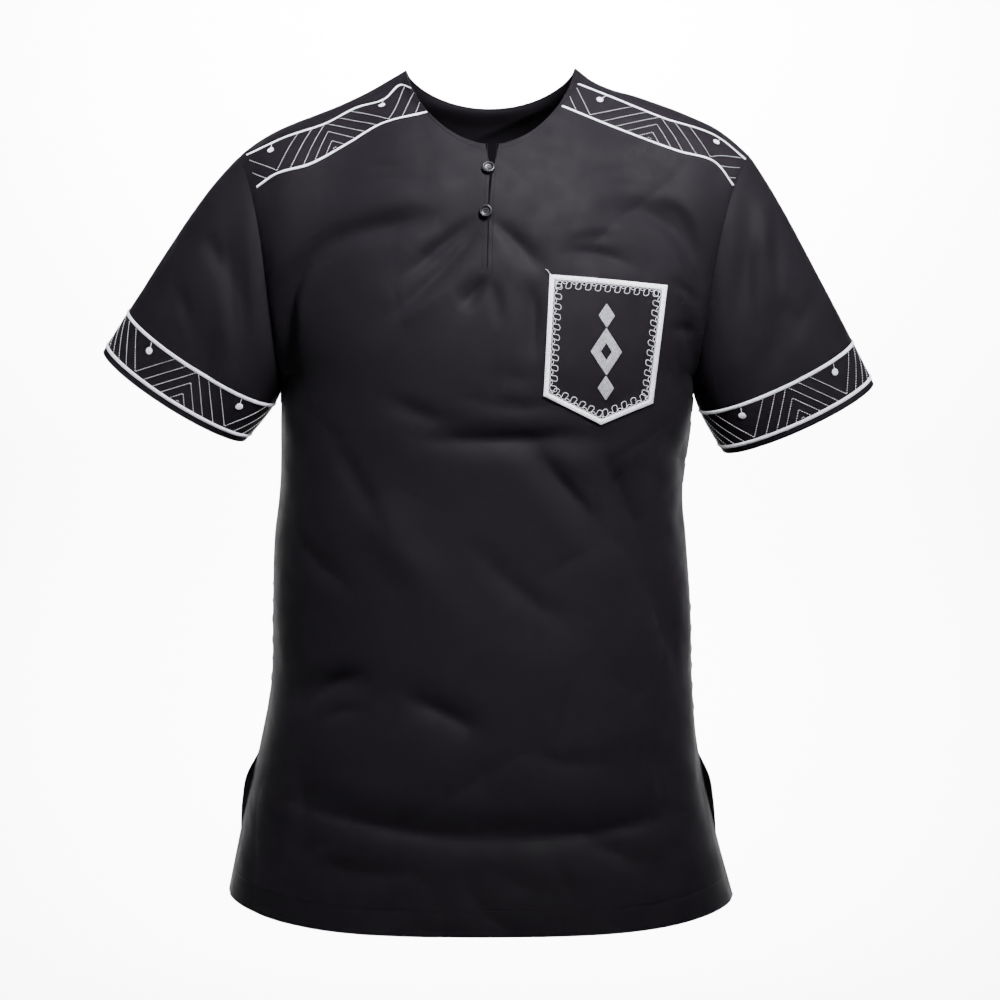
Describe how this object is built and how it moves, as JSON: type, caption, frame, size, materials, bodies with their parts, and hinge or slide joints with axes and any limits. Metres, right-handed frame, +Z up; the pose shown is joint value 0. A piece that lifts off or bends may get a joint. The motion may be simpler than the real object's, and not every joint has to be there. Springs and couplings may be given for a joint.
{
  "type": "dashiki shirt",
  "caption": "Short-sleeved round-neck dashiki shirt in its worn hollow form, with a buttoned slit, a five-sided chest pocket and side vents",
  "frame": {"origin": "midway between the two neck points, on the shoulder line that the wearer carries", "axes": "+Z up along the body, -Y towards the front, +X towards the wearer's left"},
  "size_m": [0.6905, 0.265, 0.7591],
  "materials": {
    "cotton": "black cotton poplin with a soft satin sheen",
    "pocket_cotton": "black cotton with a white satin-stitched edge",
    "button": "polished black"
  },
  "bodies": {
    "root": {"front": "cotton", "back": "cotton", "sleeve_left": "cotton", "sleeve_right": "cotton", "pocket": "pocket_cotton", "button_upper": "button", "button_lower": "button"}
  },
  "joints": []
}
